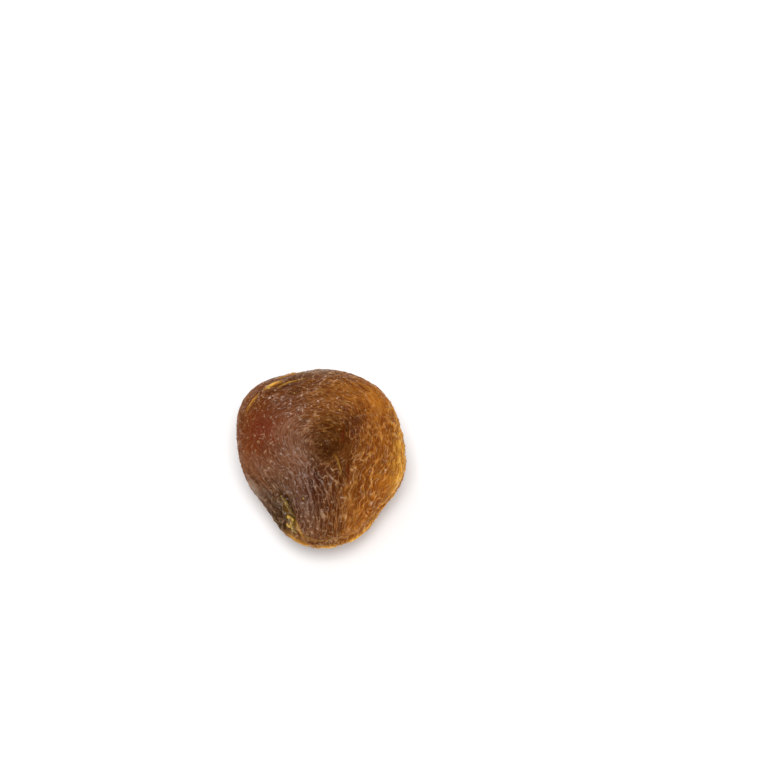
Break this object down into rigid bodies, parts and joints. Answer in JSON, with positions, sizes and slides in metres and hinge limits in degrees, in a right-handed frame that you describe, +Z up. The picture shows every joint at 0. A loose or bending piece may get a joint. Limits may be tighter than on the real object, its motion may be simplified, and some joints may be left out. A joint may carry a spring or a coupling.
{
  "type": "dried apricot",
  "caption": "Whole pitted apricot dried brown: a thick wrinkled cushion with a hollow in its top, a slit where the stone came out and a flat spot that it rests on.",
  "frame": {"origin": "on the resting surface, under the middle of the fruit's box", "axes": "+X to the fruit's right, +Y along its length and away from the end with the slit, +Z up out of the hollow side"},
  "size_m": [0.036, 0.04, 0.0155],
  "materials": {
    "fruit_skin": "leathery dried skin, semi-gloss, finely wrinkled"
  },
  "bodies": {
    "root": {"dried_apricot": "fruit_skin"}
  },
  "joints": []
}
